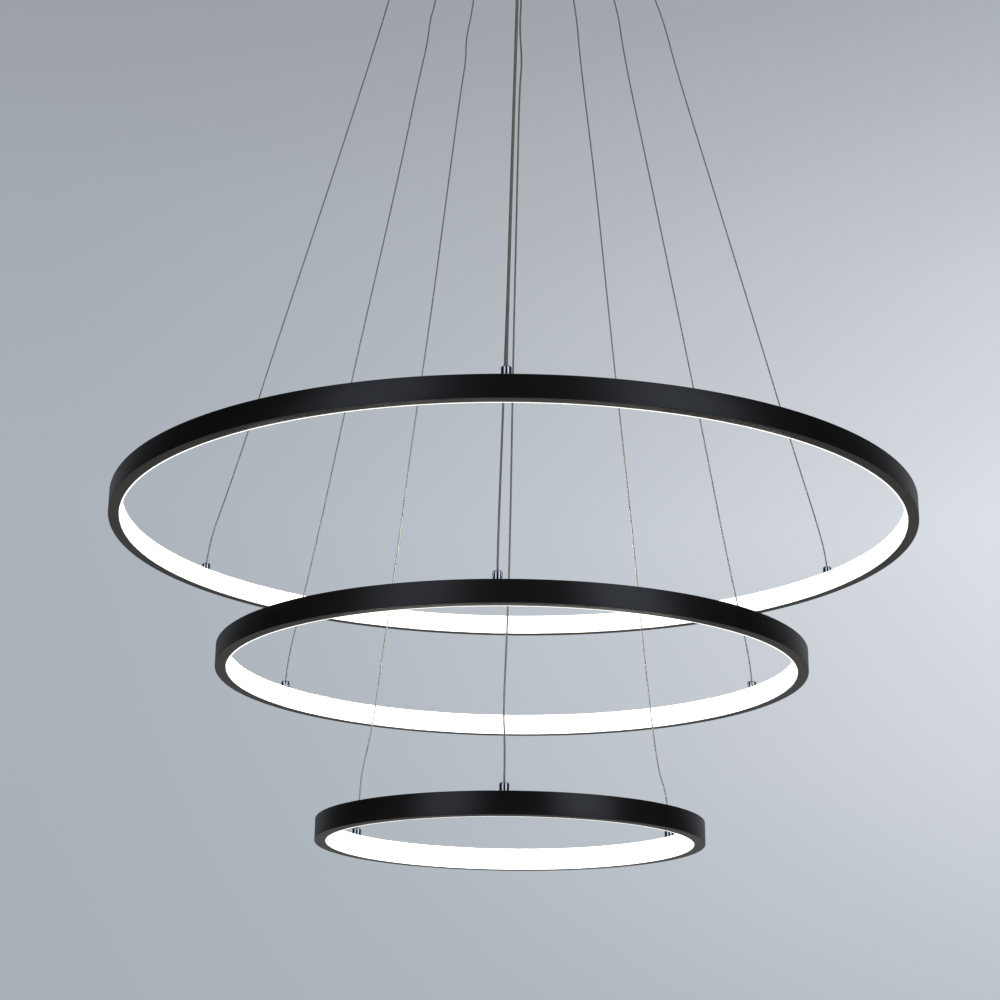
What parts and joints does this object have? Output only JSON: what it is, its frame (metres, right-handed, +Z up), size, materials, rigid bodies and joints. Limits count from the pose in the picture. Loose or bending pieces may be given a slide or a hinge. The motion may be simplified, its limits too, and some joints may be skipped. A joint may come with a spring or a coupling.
{
  "type": "ring chandelier",
  "caption": "Tiered ceiling pendant: slim black rings, lit on their inner faces, hang level on thin wires from a round canopy.",
  "frame": {"origin": "centre of the canopy's rim, in the plane of the ceiling, on the common axis of the rings", "axes": "+Z up into the ceiling along the common axis; -Y towards the front wires, the side seen in the picture; the crossbar lies along X"},
  "size_m": [0.7999, 0.7999, 1.0964],
  "materials": {
    "black_coat": "matt",
    "opal": "satin",
    "strip_board": "matt",
    "chip": "gloss",
    "bright_metal": "polished",
    "steel_wire": "braided, in a clear sheath",
    "feed_wire": "braided, in a clear sheath",
    "zinc_steel": "zinc plated",
    "raw_aluminium": "mill finish",
    "brass": "plain",
    "white_case": "matt",
    "circuit_board": "satin",
    "clear_nylon": "satin",
    "foam": "matt"
  },
  "bodies": {
    "pendant": {"ceiling_bracket": "zinc_steel", "canopy_cover": "black_coat", "canopy_screws": "bright_metal", "earth_screw": "brass", "driver_tape": "foam", "driver_case": "white_case", "driver_lid": "white_case", "driver_board": "circuit_board", "terminal_block": "clear_nylon", "terminal_screws": "brass", "gripper_nuts": "zinc_steel", "ring_channel_large": "black_coat", "ring_diffuser_large": "opal", "led_strip_large": "strip_board", "led_chips_large": "chip", "ring_joiner_large": "raw_aluminium", "wire_fittings_large": "bright_metal", "fitting_nuts_large": "zinc_steel", "wire_gripper_large_front": "bright_metal", "suspension_wire_large_front": "feed_wire", "wire_gripper_large_right": "bright_metal", "suspension_wire_large_right": "steel_wire", "wire_gripper_large_left": "bright_metal", "suspension_wire_large_left": "steel_wire", "ring_channel_medium": "black_coat", "ring_diffuser_medium": "opal", "led_strip_medium": "strip_board", "led_chips_medium": "chip", "ring_joiner_medium": "raw_aluminium", "wire_fittings_medium": "bright_metal", "fitting_nuts_medium": "zinc_steel", "wire_gripper_medium_front": "bright_metal", "suspension_wire_medium_front": "feed_wire", "wire_gripper_medium_right": "bright_metal", "suspension_wire_medium_right": "steel_wire", "wire_gripper_medium_left": "bright_metal", "suspension_wire_medium_left": "steel_wire", "ring_channel_small": "black_coat", "ring_diffuser_small": "opal", "led_strip_small": "strip_board", "led_chips_small": "chip", "ring_joiner_small": "raw_aluminium", "wire_fittings_small": "bright_metal", "fitting_nuts_small": "zinc_steel", "wire_gripper_small_front": "bright_metal", "suspension_wire_small_front": "feed_wire", "wire_gripper_small_right": "bright_metal", "suspension_wire_small_right": "steel_wire", "wire_gripper_small_left": "bright_metal", "suspension_wire_small_left": "steel_wire"},
    "sleeve_large_front": {"release_sleeve_large_front": "bright_metal"},
    "sleeve_large_right": {"release_sleeve_large_right": "bright_metal"},
    "sleeve_large_left": {"release_sleeve_large_left": "bright_metal"},
    "sleeve_medium_front": {"release_sleeve_medium_front": "bright_metal"},
    "sleeve_medium_right": {"release_sleeve_medium_right": "bright_metal"},
    "sleeve_medium_left": {"release_sleeve_medium_left": "bright_metal"},
    "sleeve_small_front": {"release_sleeve_small_front": "bright_metal"},
    "sleeve_small_right": {"release_sleeve_small_right": "bright_metal"},
    "sleeve_small_left": {"release_sleeve_small_left": "bright_metal"}
  },
  "joints": [
    {"name": "sleeve_large_front_push", "type": "slide", "parent": "pendant", "child": "sleeve_large_front", "axis": [0, 0, 1], "range_m": [0, 0.0022], "stiffness_N_per_m": 120, "springref_m": -0.001},
    {"name": "sleeve_large_right_push", "type": "slide", "parent": "pendant", "child": "sleeve_large_right", "axis": [0, 0, 1], "range_m": [0, 0.0022], "stiffness_N_per_m": 120, "springref_m": -0.001},
    {"name": "sleeve_large_left_push", "type": "slide", "parent": "pendant", "child": "sleeve_large_left", "axis": [0, 0, 1], "range_m": [0, 0.0022], "stiffness_N_per_m": 120, "springref_m": -0.001},
    {"name": "sleeve_medium_front_push", "type": "slide", "parent": "pendant", "child": "sleeve_medium_front", "axis": [0, 0, 1], "range_m": [0, 0.0022], "stiffness_N_per_m": 120, "springref_m": -0.001},
    {"name": "sleeve_medium_right_push", "type": "slide", "parent": "pendant", "child": "sleeve_medium_right", "axis": [0, 0, 1], "range_m": [0, 0.0022], "stiffness_N_per_m": 120, "springref_m": -0.001},
    {"name": "sleeve_medium_left_push", "type": "slide", "parent": "pendant", "child": "sleeve_medium_left", "axis": [0, 0, 1], "range_m": [0, 0.0022], "stiffness_N_per_m": 120, "springref_m": -0.001},
    {"name": "sleeve_small_front_push", "type": "slide", "parent": "pendant", "child": "sleeve_small_front", "axis": [0, 0, 1], "range_m": [0, 0.0022], "stiffness_N_per_m": 120, "springref_m": -0.001},
    {"name": "sleeve_small_right_push", "type": "slide", "parent": "pendant", "child": "sleeve_small_right", "axis": [0, 0, 1], "range_m": [0, 0.0022], "stiffness_N_per_m": 120, "springref_m": -0.001},
    {"name": "sleeve_small_left_push", "type": "slide", "parent": "pendant", "child": "sleeve_small_left", "axis": [0, 0, 1], "range_m": [0, 0.0022], "stiffness_N_per_m": 120, "springref_m": -0.001}
  ]
}
